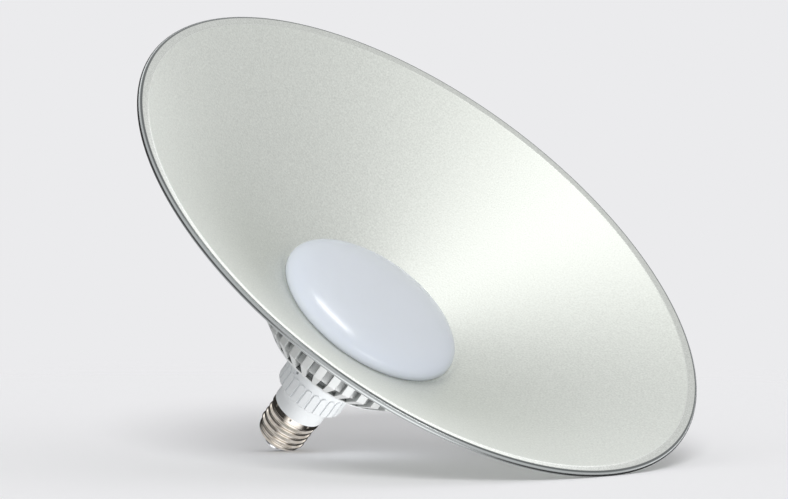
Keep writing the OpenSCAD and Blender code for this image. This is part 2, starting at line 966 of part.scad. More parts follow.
// Lead from the driver through the grommet to a pad of the light board
module led_lead(side) {
    bore_x = side * (lead_d / 2 + 0.5);
    z_front = z_board - lead_d / 2 - 0.5;
    lead([
        [side * wire_x, pcb_front, z_pcb + 3],
        [side * wire_x, low_wire_y, z_pcb + 3],
        [bore_x, 0, z_back + 2.6],
        [bore_x, 0, z_front],
        [side * (board_hole_r + 3), 0, z_front],
        [side * (board_hole_r + 3), 0, z_board]
    ]);
}

module led_lead_positive() {
    color([0.75, 0.12, 0.1])
        led_lead(1);
}

module led_lead_negative() {
    color([0.12, 0.12, 0.12])
        led_lead(-1);
}

reflector();
diffuser();
heat_sink();
neck_housing();
screw_shell();
cap_insulator();
centre_contact();
led_board();
led_packages();
thermal_pad();
board_screws();
neck_screws();
insulating_disc();
lead_grommet();
driver_board();
transformer_core();
transformer_bobbin();
transformer_winding();
input_capacitor();
output_capacitor();
film_capacitor();
choke();
bridge_rectifier();
controller_chip();
power_transistor();
fuse_resistor();
live_lead();
neutral_lead();
led_lead_positive();
led_lead_negative();
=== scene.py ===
# %% [markdown]
# A high bay lamp is a wide spun shade with an LED body in its throat. The CAD frame holds
# every piece at its real size: this file gives each one its finish, and draws again, as fine
# surfaces, the pieces whose curves catch the light. The lamp hangs with its cap up, so +Z runs
# from the rim to the cap, and its own light falls towards -Z.

# %% Load the frame
import math

import bpy
import numpy as np
from mathutils import Matrix, Vector


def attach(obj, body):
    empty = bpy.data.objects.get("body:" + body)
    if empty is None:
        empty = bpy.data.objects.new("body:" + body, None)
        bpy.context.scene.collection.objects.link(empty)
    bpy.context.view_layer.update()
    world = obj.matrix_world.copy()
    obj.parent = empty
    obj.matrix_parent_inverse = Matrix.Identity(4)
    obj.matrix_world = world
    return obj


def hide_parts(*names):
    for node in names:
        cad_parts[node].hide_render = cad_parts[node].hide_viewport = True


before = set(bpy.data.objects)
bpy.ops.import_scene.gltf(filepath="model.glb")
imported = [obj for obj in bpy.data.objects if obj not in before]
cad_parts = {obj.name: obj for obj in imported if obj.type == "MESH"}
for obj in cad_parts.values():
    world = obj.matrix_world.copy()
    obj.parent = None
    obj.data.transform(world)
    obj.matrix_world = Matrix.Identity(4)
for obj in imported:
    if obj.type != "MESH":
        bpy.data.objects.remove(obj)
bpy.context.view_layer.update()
MM = 0.001

# %% [markdown]
# The camera comes first, because the lights are placed in its view. In the photograph the lamp
# lies on its side, on its rim and its cap, and the camera is level with it. Here the lamp keeps
# the way it hangs, so the camera looks up into the shade and is rolled over. A long lens,
# 137 mm on a 36 mm sensor, gives the mild perspective of the rim's ellipse.

# %% Place the camera
LOOK_UP = math.radians(27.84)
ROLL = math.radians(216.05)
DISTANCE = 1468.8 * MM
AIM_RIGHT, AIM_UP = 16.1 * MM, 8.2 * MM
FOCAL_PIXELS, PICTURE_W, SENSOR_MM = 3000, 788, 36
NEAREST, FARTHEST = 0.05, 20

ahead = Vector((0, math.cos(LOOK_UP), math.sin(LOOK_UP)))
level_up = Vector((0, -math.sin(LOOK_UP), math.cos(LOOK_UP)))
right = math.cos(ROLL) * Vector((1, 0, 0)) + math.sin(ROLL) * level_up
up = -math.sin(ROLL) * Vector((1, 0, 0)) + math.cos(ROLL) * level_up


def in_view(across, over, beyond):
    """Row-frame point that lies so many metres right of, above and behind the row's origin as
    the camera sees it: origin plus across * right, over * up and beyond * ahead."""
    return across * right + over * up + beyond * ahead


camera = bpy.data.objects.new("camera", bpy.data.cameras.new("camera"))
bpy.context.scene.collection.objects.link(camera)
bpy.context.scene.camera = camera
turned = Matrix((right, up, -ahead)).transposed().to_4x4()
camera.matrix_world = Matrix.Translation(in_view(-AIM_RIGHT, -AIM_UP, -DISTANCE)) @ turned
camera.data.sensor_width = SENSOR_MM
camera.data.lens = FOCAL_PIXELS / PICTURE_W * SENSOR_MM
camera.data.clip_start, camera.data.clip_end = NEAREST, FARTHEST
print("camera at", [round(v / MM) for v in camera.location], "lens", round(camera.data.lens, 1), "mm")

# %% [markdown]
# Materials are node graphs. Two helpers keep them short: one turns a written sRGB colour into
# the linear values that Blender computes with, and one adds a node with its settings and links.
# The others say what a finish is made of: a grain, the values it is spread over, a blend of two
# colours and a relief.

# %% Material helpers
def linear(code, alpha=1.0):
    """Linear RGBA of an sRGB hex code: each channel c is c / 12.92 below 0.04045, and
    ((c + 0.055) / 1.055) to the power 2.4 above it."""
    channels = [int(code[i:i + 2], 16) / 255 for i in (1, 3, 5)]
    bent = [c / 12.92 if c <= 0.04045 else ((c + 0.055) / 1.055) ** 2.4 for c in channels]
    return (*bent, alpha)


def add(tree, kind, links=None, sockets=None, **settings):
    """Adds a node of that kind. Links maps an input socket, by name or number, to the output
    that feeds it, sockets maps one to a plain value, and settings are the node's properties."""
    node = tree.nodes.new("ShaderNode" + kind)
    for name, value in settings.items():
        setattr(node, name, value)
    for name, value in (sockets or {}).items():
        node.inputs[name].default_value = value
    for name, output in (links or {}).items():
        tree.links.new(output, node.inputs[name])
    return node


def new_material(name, colour, roughness, metallic=0.0, **sockets):
    """A material whose Principled shader has a plain colour. Returns it with its tree and shader."""
    material = bpy.data.materials.new(name)
    material.use_nodes = True
    tree = material.node_tree
    shader = tree.nodes["Principled BSDF"]
    shader.inputs["Base Color"].default_value = linear(colour)
    shader.inputs["Roughness"].default_value = roughness
    shader.inputs["Metallic"].default_value = metallic
    for socket, value in sockets.items():
        shader.inputs[socket.replace("_", " ")].default_value = value
    material.diffuse_color = linear(colour)
    return material, tree, shader


def grain(tree, size_mm, detail=2.0, stretch=(1, 1, 1)):
    """Noise whose features are about size_mm wide, in the piece's own space. The space is in
    metres, so the noise scale is one over that size in metres."""
    place = add(tree, "TexCoord").outputs["Object"]
    scaled = add(tree, "Mapping", {"Vector": place}, {"Scale": stretch})
    return add(
        tree, "TexNoise", {"Vector": scaled.outputs["Vector"]},
        {"Scale": 1 / (size_mm * MM), "Detail": detail},
    ).outputs["Fac"]


def spread(tree, value, low, high, start=0.3, end=0.7, **settings):
    """Maps a value that runs from start to end onto low to high. Noise runs from about 0.3 to
    0.7. End may be below start."""
    return add(
        tree, "MapRange", {"Value": value},
        {"From Min": start, "From Max": end, "To Min": low, "To Max": high}, **settings,
    ).outputs["Result"]


def rise(tree, value, start, end):
    """Goes smoothly from 0 where the value is start to 1 where it is end."""
    return spread(tree, value, 0.0, 1.0, start, end, interpolation_type="SMOOTHSTEP")


def blend(tree, factor, first, second):
    """The colour that goes from first to second as the factor goes from 0 to 1. Each of them is
    a hex code or the output of another blend."""
    mixed = add(tree, "Mix", {"Factor": factor}, data_type="RGBA")
    for socket, colour in ((mixed.inputs[6], first), (mixed.inputs[7], second)):
        if isinstance(colour, str):
            socket.default_value = linear(colour)
        else:
            tree.links.new(colour, socket)
    return mixed.outputs[2]


def tint(tree, shader, factor, first, second):
    """Feeds the base colour with such a blend."""
    tree.links.new(blend(tree, factor, first, second), shader.inputs["Base Color"])


def relief(tree, shader, height, depth_mm, strength=1.0, edge_mm=0.0):
    """Bends the normal as if the surface rose and fell by depth_mm with the height. An edge_mm
    also shades sharp edges as if they were rounded to that radius."""
    links = {"Height": height}
    if edge_mm:
        rounded = add(tree, "Bevel", sockets={"Radius": edge_mm * MM}, samples=4)
        links["Normal"] = rounded.outputs["Normal"]
    bump = add(tree, "Bump", links, {"Strength": strength, "Distance": depth_mm * MM})
    tree.links.new(bump.outputs["Normal"], shader.inputs["Normal"])


finishes = {}


def store(*makers):
    """Makes each finish and keeps it under the name of its function."""
    for make in makers:
        finishes[make.__name__] = make()
        print("finish:", make.__name__)


# %% [markdown]
# The shade is spun from aluminium sheet, sand-blasted and anodised. The blasting leaves a fine
# even grain that scatters a reflection widely, so the lamp's white surroundings show as one soft
# glow and not as a picture. Real grit marks are about 0.2 mm and wouldn't show: they are drawn
# at 0.9 mm. At the rim the rolling tool has pressed the grain flat.

# %% The shade's finish
BURNISHED, BURNISH_EDGE = 153.8, 1.0
ROLL_LINE, LINE_INSIDE, LINE_OUTSIDE = 158.6, 0.3, 0.5
LINE_EDGE, BEAD_SHADE_EDGE = 0.3, 0.4


def anodised_aluminium():
    """Satin all over. From BURNISHED mm off the axis out, the grain fades and the metal is
    smoother. At ROLL_LINE a thin dark line of painted shade marks where the roll starts, and the
    roll itself is painted a darker grey, as shade."""
    material, tree, shader = new_material("anodised_aluminium", "#D3D6D0", 0.46, metallic=1.0)
    fine = grain(tree, 0.9, detail=3.0)
    place = add(tree, "TexCoord").outputs["Object"]
    flat = add(tree, "VectorMath", {0: place}, {1: (1, 1, 0)}, operation="MULTIPLY").outputs[0]
    radius = add(tree, "VectorMath", {0: flat}, operation="LENGTH").outputs["Value"]

    def past(start, end):
        """0 to 1 as the distance from the axis goes from start to end mm."""
        return spread(tree, radius, 0.0, 1.0, start * MM, end * MM)

    burnished = past(BURNISHED, BURNISHED + BURNISH_EDGE)
    blasted = spread(tree, fine, 0.47, 0.54)
    rough = add(tree, "Mix", {"Factor": burnished, 2: blasted}, {3: 0.24})
    tree.links.new(rough.outputs[0], shader.inputs["Roughness"])
    # Painted shade: a thin dark line where the sheet bends into the roll, and a darker grey over the roll.
    inner, outer = ROLL_LINE - LINE_INSIDE, ROLL_LINE + LINE_OUTSIDE
    line = add(
        tree, "Math", {0: past(inner - LINE_EDGE, inner), 1: past(outer + LINE_EDGE, outer)},
        operation="MULTIPLY",
    ).outputs[0]
    mottled = blend(tree, spread(tree, fine, 0.0, 1.0), "#C9CCC6", "#DDE0DA")
    shaded_bead = blend(tree, past(ROLL_LINE, ROLL_LINE + BEAD_SHADE_EDGE), mottled, "#B9BDBC")
    tint(tree, shader, line, shaded_bead, "#6C706F")
    calm = spread(tree, burnished, 0.8, 0.05, 0.0, 1.0)
    bump = add(tree, "Bump", {"Height": fine, "Strength": calm}, {"Distance": 0.08 * MM})
    tree.links.new(bump.outputs["Normal"], shader.inputs["Normal"])
    return material


store(anodised_aluminium)

# %% [markdown]
# The diffuser is opal polycarbonate, which is clear plastic with a white filler. Light goes in,
# scatters from grain to grain and comes out a few millimetres away, so the dome looks soft and
# its shadows have no edge. Its moulded skin is smooth and still mirrors the lights.

# %% The diffuser's finish
def opal_polycarbonate():
    """A pale blue-grey under a smooth skin, with light scattered below it."""
    material, tree, shader = new_material(
        "opal_polycarbonate", "#CFD5DF", 0.2, IOR=1.58,
        Subsurface_Weight=0.6, Subsurface_Scale=0.006, Subsurface_Radius=(1.0, 1.0, 1.1),
    )
    relief(tree, shader, grain(tree, 1.5), 0.01, strength=0.3)
    return material


store(opal_polycarbonate)

# %% [markdown]
# The body is a die casting with a silver-white powder coat, and the neck is moulded PBT. Edges
# on real castings and mouldings are rounded by a few tenths of a millimetre and catch a thin
# line of light. Both finishes shade them so, with a Bevel node, and leave the mesh alone.

# %% Finishes of the body and the neck
GAP_REACH = 7


def silver_powder_coat():
    """Metal flake in a clear binder, with a fine orange peel. Narrow gaps and recesses are painted
    darker as shade: the more of the space within GAP_REACH mm is blocked, the darker the colour."""
    material, tree, shader = new_material("silver_powder_coat", "#E2E4E3", 0.36, metallic=0.3)
    coat = blend(tree, spread(tree, grain(tree, 12), 0.0, 1.0), "#DDE0DF", "#E8EAE9")
    # Painted shade: ambient occlusion darkens the coat towards #5A5E5E in gaps and recesses.
    unshaded = add(tree, "AmbientOcclusion", sockets={"Distance": GAP_REACH * MM}, samples=8).outputs["AO"]
    tint(tree, shader, spread(tree, unshaded, 0.0, 1.0, 0.1, 0.65), "#5A5E5E", coat)
    relief(tree, shader, grain(tree, 0.8, detail=3.0), 0.06, strength=0.6, edge_mm=0.45)
    return material


def white_pbt():
    """A bright satin white whose spark-eroded mould leaves a faint grain."""
    material, tree, shader = new_material("white_pbt", "#E9ECEE", 0.36, IOR=1.52)
    relief(tree, shader, grain(tree, 0.5, detail=3.0), 0.02, strength=0.4, edge_mm=0.35)
    return material


store(silver_powder_coat, white_pbt)

# %% [markdown]
# The cap is nickel-plated brass sheet. Black glass insulates its end, and the contact at the tip
# is tinned. Polished metal shows only what it mirrors, so the room of the last step does more
# for it than its own colour.

# %% Finishes of the cap
def nickel_plate():
    """A warm bright metal with faint lines round the cap, from rolling."""
    material, tree, shader = new_material("nickel_plate", "#CFC8BD", 0.17, metallic=1.0)
    lines = grain(tree, 0.5, detail=4.0, stretch=(0.05, 0.05, 1))
    tree.links.new(spread(tree, lines, 0.13, 0.24), shader.inputs["Roughness"])
    tint(tree, shader, spread(tree, grain(tree, 4), 0.0, 1.0), "#D6D0C7", "#C2B9AB")
    return material


def contact_tin():
    """Solder tin, which is whiter than nickel and softly lumpy."""
    material, tree, shader = new_material("contact_tin", "#EDEDEE", 0.24, metallic=1.0)
    tint(tree, shader, spread(tree, grain(tree, 1.2), 0.0, 1.0), "#F1F1F2", "#E2E3E5")
    relief(tree, shader, grain(tree, 2.5), 0.12, strength=0.5, edge_mm=0.3)
    return material


def cap_glass():
    """Black glass pressed into the cap's end: smooth and glossy, a little uneven."""
    material, tree, shader = new_material("cap_glass", "#1B1B1E", 0.12, IOR=1.52)
    relief(tree, shader, grain(tree, 2.0), 0.05, strength=0.5)
    return material


store(nickel_plate, contact_tin, cap_glass)

# %% [markdown]
# The pieces inside are seen only when the lamp is taken apart. They still get the finish of
# the real thing: each one is a named recipe of two close colours, a roughness and a grain.

# %% Finishes of the inner pieces
def inner_finish(name, first, second, roughness, patch_mm, grain_mm, depth_mm, metallic=0.0):
    """A finish with slightly mottled colour, in patches of patch_mm, and a fine relief."""
    material, tree, shader = new_material(name, first, roughness, metallic=metallic)
    tint(tree, shader, spread(tree, grain(tree, patch_mm), 0.0, 1.0), first, second)
    relief(tree, shader, grain(tree, grain_mm, detail=3.0), depth_mm, strength=0.5)
    return material


INNER = {
    "white_solder_mask": ("#EEF0EC", "#E6E8E3", 0.35, 6, 0.6, 0.01),
    "yellow_phosphor": ("#F2D65A", "#E9C63F", 0.5, 1.5, 0.3, 0.02),
    "silicone_pad": ("#8C99A8", "#8090A0", 0.8, 5, 0.4, 0.05),
    "pressed_board": ("#D9CFAE", "#CFC4A0", 0.85, 3, 0.3, 0.04),
    "grommet_rubber": ("#3A3A3D", "#323235", 0.7, 2, 0.3, 0.03),
    "green_solder_mask": ("#2C6B3F", "#347A49", 0.3, 2.2, 0.5, 0.03),
    "sintered_ferrite": ("#34363A", "#2C2E32", 0.55, 2, 0.25, 0.03),
    "black_nylon": ("#1E1E20", "#242427", 0.45, 3, 0.3, 0.02),
    "yellow_tape": ("#E2C23C", "#DAB832", 0.25, 4, 1.0, 0.03),
    "shrink_sleeve": ("#2A3040", "#242A38", 0.28, 5, 1.2, 0.03),
    "ochre_epoxy": ("#CDAA35", "#C2A02E", 0.4, 3, 0.4, 0.03),
    "varnished_winding": ("#6A3B20", "#5A301A", 0.25, 1.0, 0.35, 0.12),
    "black_epoxy": ("#1B1B1D", "#232326", 0.5, 2, 0.25, 0.02),
    "green_lacquer": ("#6FA083", "#669678", 0.35, 2, 0.5, 0.02),
    "rust_silicone": ("#993A22", "#8F341E", 0.45, 3, 0.5, 0.02),
    "blue_silicone": ("#33528C", "#2E4B82", 0.45, 3, 0.5, 0.02),
    "red_silicone": ("#BE2A22", "#B4261F", 0.45, 3, 0.5, 0.02),
    "black_silicone": ("#232325", "#1D1D1F", 0.45, 3, 0.5, 0.02),
    "zinc_plate": ("#C4C6CC", "#B8BBC4", 0.32, 2, 0.4, 0.02, 1.0),
}
finishes.update({name: inner_finish(name, *recipe) for name, recipe in INNER.items()})
print(len(finishes), "finishes with those inside:", ", ".join(INNER))

# %% [markdown]
# Every CAD node takes the finish of what it is made of. Its mesh stays as the frame brings it.

# %% Dress the CAD nodes
FINISH_OF_NODE = {
    "reflector": "anodised_aluminium",
    "diffuser": "opal_polycarbonate",
    "heat_sink": "silver_powder_coat",
    "neck_housing": "white_pbt",
    "screw_shell": "nickel_plate",
    "cap_insulator": "cap_glass",
    "centre_contact": "contact_tin",
    "led_board": "white_solder_mask",
    "led_packages": "yellow_phosphor",
    "thermal_pad": "silicone_pad",
    "board_screws": "zinc_plate",
    "neck_screws": "zinc_plate",
    "insulating_disc": "pressed_board",
    "lead_grommet": "grommet_rubber",
    "driver_board": "green_solder_mask",
    "transformer_core": "sintered_ferrite",
    "transformer_bobbin": "black_nylon",
    "transformer_winding": "yellow_tape",
    "input_capacitor": "shrink_sleeve",
    "output_capacitor": "shrink_sleeve",
    "film_capacitor": "ochre_epoxy",
    "choke": "varnished_winding",
    "bridge_rectifier": "black_epoxy",
    "controller_chip": "black_epoxy",
    "power_transistor": "black_epoxy",
    "fuse_resistor": "green_lacquer",
    "live_lead": "rust_silicone",
    "neutral_lead": "blue_silicone",
    "led_lead_positive": "red_silicone",
    "led_lead_negative": "black_silicone",
}


def dress(piece, finish):
    """Puts one finish on the whole piece."""
    piece.data.materials.clear()
    piece.data.materials.append(finishes[finish])


for node, finish in FINISH_OF_NODE.items():
    dress(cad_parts[node], finish)
print("dressed", len(FINISH_OF_NODE), "CAD nodes")

# %% [markdown]
# A spun, moulded or rolled shell is a surface of revolution. Its section is a line of points
# (r, z), and turning the section round the axis gives a grid. A section that closes on itself
# gives a ring, and one that starts and ends on the axis gives a dome with two poles. The grid
# comes from whole arrays, with no loop over vertices.

# %% Surfaces of revolution
def piece_of(name, points, faces, finish, node):
    """Makes a smooth piece from points in mm and lists of corners, and puts it in the node's place."""
    mesh = bpy.data.meshes.new(name)
    mesh.from_pydata((points * MM).tolist(), [], faces)
    mesh.validate()
    mesh.shade_smooth()
    piece = bpy.data.objects.new(name, mesh)
    bpy.context.scene.collection.objects.link(piece)
    dress(piece, finish)
    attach(piece, "root")
    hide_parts(node)
    print(name, "has", len(faces), "faces")
    return piece


def quads_between(index):
    """Quads between each row of vertex numbers and the next one. Columns close round."""
    beside = np.roll(index, -1, axis=1)
    return np.stack([index[:-1], beside[:-1], beside[1:], index[1:]], axis=-1).reshape(-1, 4).tolist()


def closed_grid(name, points, finish, node):
    """Makes a piece from points of shape (rows, columns, 3). Each row joins the next, the last
    joins the first, and so do the columns, so the surface has no open edge."""
    rows, columns = points.shape[:2]
    index = np.arange(rows * columns).reshape(rows, columns)
    faces = quads_between(np.concatenate([index, index[:1]]))
    return piece_of(name, points.reshape(-1, 3), faces, finish, node)


def poled_grid(name, points, finish, node):
    """Makes a piece from points of shape (rows, columns, 3) whose first and last rows lie on the
    axis. Each of these two rows is one vertex, with a fan of triangles round it."""
    rows, columns = points.shape[:2]
    index = np.arange((rows - 2) * columns).reshape(rows - 2, columns)
    beside = np.roll(index, -1, axis=1)
    start, end = index.size, index.size + 1
    fans = [(start, b, a) for a, b in zip(index[0].tolist(), beside[0].tolist())]
    fans += [(a, b, end) for a, b in zip(index[-1].tolist(), beside[-1].tolist())]
    vertices = np.concatenate([points[1:-1].reshape(-1, 3), points[:1, 0], points[-1:, 0]])
    return piece_of(name, vertices, quads_between(index) + fans, finish, node)


def revolve(section, sides):
    """Turns a section of points (r, z) round the axis: x = r cos t, y = r sin t for sides equal
    steps of t. The section runs anticlockwise in the r, z plane, so that faces point outwards."""
    turn = np.linspace(0, 2 * np.pi, sides, endpoint=False)
    r, z = section[:, :1], section[:, 1:]
    return np.stack([r * np.cos(turn), r * np.sin(turn), np.broadcast_to(z, (len(z), sides))], axis=-1)


def arc(centre, radius, start, end, count):
    """Points on a circle from start to end degrees: centre + radius (cos t, sin t)."""
    t = np.radians(np.linspace(start, end, count))
    return np.stack([centre[0] + radius * np.cos(t), centre[1] + radius * np.sin(t)], axis=-1)


def sheet_section(path, thickness):
    """Section of a sheet that follows a mid-line: the line moved by half the thickness along
    its normal on one side, and back along the other side."""
    along = np.gradient(path, axis=0)
    along /= np.linalg.norm(along, axis=1, keepdims=True)
    normal = np.stack([along[:, 1], -along[:, 0]], axis=-1)
    return np.concatenate([path + normal * thickness / 2, (path - normal * thickness / 2)[::-1]])


# %% [markdown]
# The shade is one sheet, so its section is a mid-line with a thickness: the flat land that the
# body clamps, the straight cone, a flatter band, and the edge, which is rolled over to the
# outside. From inside the sheet flows round the rim without a gap, and takes a bright line there.

# %% The shade
SHADE_R, SHADE_H, SHEET = 160.0, 54.2, 0.9
BEAD_R, FLARE_W, FLARE_RISE = 1.6, 4.0, 0.85
LAND_IN, LAND_OUT = 45.6, 50.0
CURL_START, CURL_END, CURL_POINTS = 258, 532, 41
BEND, FINE_STEP, KEPT_EVERY = 1.4, 0.1, 40
SHADE_SIDES = 256


def shade_midline():
    """Land, cone and band are straight. Each bend is eased by a running mean over BEND mm to
    both sides, on points FINE_STEP apart, and away from the bends one point in KEPT_EVERY stays.
    The band runs at a tangent into the bead, a circle that starts 12 degrees before its lowest
    point and goes on round the outside and over the top, to 8 degrees before its inmost one."""
    half = SHEET / 2
    curl = arc((SHADE_R - BEAD_R, BEAD_R), BEAD_R - half, CURL_START, CURL_END, CURL_POINTS)
    corners = np.array([
        (LAND_IN, SHADE_H + half),
        (LAND_OUT, SHADE_H + half),
        (SHADE_R - BEAD_R - FLARE_W, FLARE_RISE + half),
        curl[0],
    ])
    lengths = np.r_[0, np.cumsum(np.linalg.norm(np.diff(corners, axis=0), axis=1))]
    fine = np.arange(0, lengths[-1], FINE_STEP)
    line = np.stack([np.interp(fine, lengths, corners[:, k]) for k in (0, 1)], axis=-1)
    width = int(BEND / FINE_STEP)
    padded = np.pad(line, ((width, width), (0, 0)), mode="reflect", reflect_type="odd")
    window = np.ones(2 * width + 1) / (2 * width + 1)
    eased = np.stack([np.convolve(padded[:, k], window, "valid") for k in (0, 1)], axis=-1)
    near_bend = np.min(np.abs(fine[:, None] - lengths[None, 1:-1]), axis=1) < 2 * BEND
    kept = near_bend | (np.arange(len(fine)) % KEPT_EVERY == 0)
    return np.concatenate([eased[kept], curl])


shade_points = revolve(sheet_section(shade_midline(), SHEET), SHADE_SIDES)
shade = closed_grid("shade", shade_points, "anodised_aluminium", "reflector")

# %% [markdown]
# The diffuser is thin and moulded in one: a low elliptic dome with a tight shoulder, a lip that
# presses the shade against the body, and a skirt with a snap bead inside the body.

# %% The diffuser
LIP_R, LIP_H, LIP_ROUND = 48.7, 1.2, 0.4
DOME_H, WALL = 12.2, 1.8
SKIRT_R, SKIRT_TOP = 45.2, 60.5
SNAP_Z, SNAP_H, SNAP_HALF_W = 58.7, 0.7, 0.8
DOME_SIDES = 192


def dome(radius, height, base, count):
    """A quarter of an ellipse in the r, z plane, from the shoulder down to the axis."""
    t = np.linspace(0, np.pi / 2, count)
    return np.stack([radius * np.cos(t), base - height * np.sin(t)], axis=-1)


def diffuser_section():
    """The dome's outside from the axis out, the lip's rounded edge, the skirt with its snap bead
    up to its top, and the inside back to the axis."""
    base = SHADE_H - LIP_H
    outside = dome(LIP_R, DOME_H, base, count=60)
    edge = arc((LIP_R - LIP_ROUND, SHADE_H - LIP_ROUND), LIP_ROUND, 0, 90, count=6)
    skirt = np.array([
        (SKIRT_R, SHADE_H),
        (SKIRT_R, SNAP_Z - SNAP_HALF_W),
        (SKIRT_R + SNAP_H, SNAP_Z),
        (SKIRT_R, SNAP_Z + SNAP_HALF_W),
        (SKIRT_R, SKIRT_TOP),
        (SKIRT_R - WALL, SKIRT_TOP),
    ])
    inside = dome(SKIRT_R - WALL, DOME_H - WALL, base, count=50)
    return np.concatenate([outside[::-1], edge, skirt, inside])


dome_points = revolve(diffuser_section(), DOME_SIDES)
opal = poled_grid("opal_dome", dome_points, "opal_polycarbonate", "diffuser")

# %% [markdown]
# The screw shell is thin sheet rolled over a threaded mandrel, so the same wave shows inside and
# outside. The thread is a true helix: its radius depends on the height less one pitch a turn.

# %% The screw shell
SHELL_FOOT, THREAD_FOOT, THREAD_L, SHELL_TOP = 123.7, 127.9, 14.1, 144.7
SHELL_R, CREST_R, ROOT_R, END_R = 13.5, 13.1, 12.15, 10.9
PITCH, RUN_OUT, SHELL_SHEET = 3.62, 1.6, 0.4
STEP_DROP, STEP_L, END_CURVE = 0.9, 1.0, 2.2
CRIMPS, CRIMP_Z, CRIMP_R, CRIMP_DEPTH = 8, 124.9, 0.54, 0.35
SHELL_SIDES, SHELL_STEP = 256, 0.16


def shell_radius(turn, z):
    """Plain skirt, a soft step to the thread, the helix and a rounded end. The thread's wave is
    half of one plus cos(turn - 360 degrees * height / pitch), and it fades out at both ends.
    Step and fade are 3 x squared less 2 x cubed. Crimp dents are round pits about the skirt, each
    e to the power of minus (distance / CRIMP_R) squared."""
    height = z - THREAD_FOOT
    fade = np.clip(np.minimum(height, THREAD_L - height) / RUN_OUT, 0, 1)
    fade = fade * fade * (3 - 2 * fade)
    wave = 0.5 + 0.5 * np.cos(turn - 2 * np.pi * height / PITCH)
    threaded = ROOT_R + (CREST_R - ROOT_R) * wave * fade
    step = np.clip((height + STEP_DROP) / STEP_L, 0, 1)
    step = step * step * (3 - 2 * step)
    radius = SHELL_R + (threaded - SHELL_R) * step
    closing = np.clip((height - THREAD_L) / (SHELL_TOP - THREAD_FOOT - THREAD_L), 0, 1)
    radius = radius - (ROOT_R - END_R) * closing ** END_CURVE
    away = np.angle(np.exp(1j * turn * CRIMPS)) / CRIMPS * SHELL_R
    pit = np.exp(-(away ** 2 + (z - CRIMP_Z) ** 2) / CRIMP_R ** 2)
    return radius - CRIMP_DEPTH * pit


def shell_points():
    """Outer surface up, then the inner surface down, one sheet thickness inside it."""
    z = np.arange(SHELL_FOOT, SHELL_TOP + SHELL_STEP / 2, SHELL_STEP)[:, None]
    turn = np.linspace(0, 2 * np.pi, SHELL_SIDES, endpoint=False)[None, :]
    outer = shell_radius(turn, z)
    r = np.concatenate([outer, (outer - SHELL_SHEET)[::-1]])
    level = np.broadcast_to(np.concatenate([z, z[::-1]]), r.shape)
    return np.stack([r * np.cos(turn), r * np.sin(turn), level], axis=-1)


shell = closed_grid("rolled_shell", shell_points(), "nickel_plate", "screw_shell")

# %% [markdown]
# The lamp is shot on white. Two pale floors catch its shadow: one where it lies in the
# photograph, on its rim and cap, and one under the rim for the other views. Each shows its
# front to the camera alone and fades out round its edge, so it neither shades the lamp, nor
# hides it from behind, nor ends in a line against the background.

# %% Floors
RIM_ROUND = BEAD_R * MM
RIM_AT = np.array([SHADE_R - BEAD_R, BEAD_R]) * MM
CAP_AT = np.array([END_R, SHELL_TOP]) * MM
BELOW_RIM = 0.4 * MM
FLOOR_REACH, FADE_START = 1.1, 0.35
PAPER = "#F1F1F3"


def lying_plane():
    """Depth and upward direction of the floor under the lamp that lies on its rim and cap. Both
    touch it in one plane with the axis. With the points (r, z) there, the rim's bead of radius b
    and the lean t of the floor from the axis, (r1 - r2) sin t - (z2 - z1) cos t = -b."""
    across, along = RIM_AT[0] - CAP_AT[0], CAP_AT[1] - RIM_AT[1]
    lean = math.atan2(along, across) - math.asin(RIM_ROUND / math.hypot(across, along))
    outward = Vector((up.x, up.y, 0)).normalized()
    upward = math.sin(lean) * outward - math.cos(lean) * Vector((0, 0, 1))
    return RIM_AT @ (math.sin(lean), math.cos(lean)) + RIM_ROUND, upward


def floor_material(name, glow):
    """White paper in front, nothing behind, and less and less of it from FADE_START of its reach
    out. The glow makes up for what its tilt takes from the light, so that it looks as bright as
    the background."""
    material, tree, shader = new_material(
        name, PAPER, 1.0, Specular_IOR_Level=0.0, Emission_Color=linear(PAPER), Emission_Strength=glow,
    )
    place = add(tree, "TexCoord").outputs["Object"]
    away = add(tree, "VectorMath", {0: place}, operation="LENGTH").outputs["Value"]
    kept = rise(tree, away, FLOOR_REACH, FADE_START * FLOOR_REACH)
    behind = add(tree, "NewGeometry").outputs["Backfacing"]
    front = add(tree, "Math", {1: behind}, {0: 1.0}, operation="SUBTRACT").outputs[0]
    shown = add(tree, "Math", {0: kept, 1: front}, operation="MULTIPLY").outputs[0]
    clear = add(tree, "BsdfTransparent").outputs[0]
    sheet = add(tree, "MixShader", {0: shown, 1: clear, 2: shader.outputs[0]})
    tree.links.new(sheet.outputs[0], tree.nodes["Material Output"].inputs["Surface"])
    return material


def floor(name, centre, normal, glow):
    """A square sheet with its middle at centre, which faces along normal and which only camera
    rays see."""
    mesh = bpy.data.meshes.new(name)
    corners = [(a * FLOOR_REACH, b * FLOOR_REACH, 0) for a, b in ((-1, -1), (1, -1), (1, 1), (-1, 1))]
    mesh.from_pydata(corners, [], [(0, 1, 2, 3)])
    mesh.materials.append(floor_material(name, glow))
    sheet = bpy.data.objects.new(name, mesh)
    bpy.context.scene.collection.objects.link(sheet)
    facing = normal.to_track_quat("Z", "Y").to_matrix().to_4x4()
    sheet.matrix_world = Matrix.Translation(centre) @ facing
    for ray in ("diffuse", "glossy", "transmission", "shadow", "volume_scatter"):
        setattr(sheet, "visible_" + ray, False)


lying_depth, lying_up = lying_plane()
floor("lying_floor", -lying_depth * lying_up, lying_up, glow=0.04)
print("the floor it lies on is", round(lying_depth / MM, 1), "mm below the origin")
floor("hanging_floor", Vector((0, 0, -BELOW_RIM)), Vector((0, 0, 1)), glow=0.2)

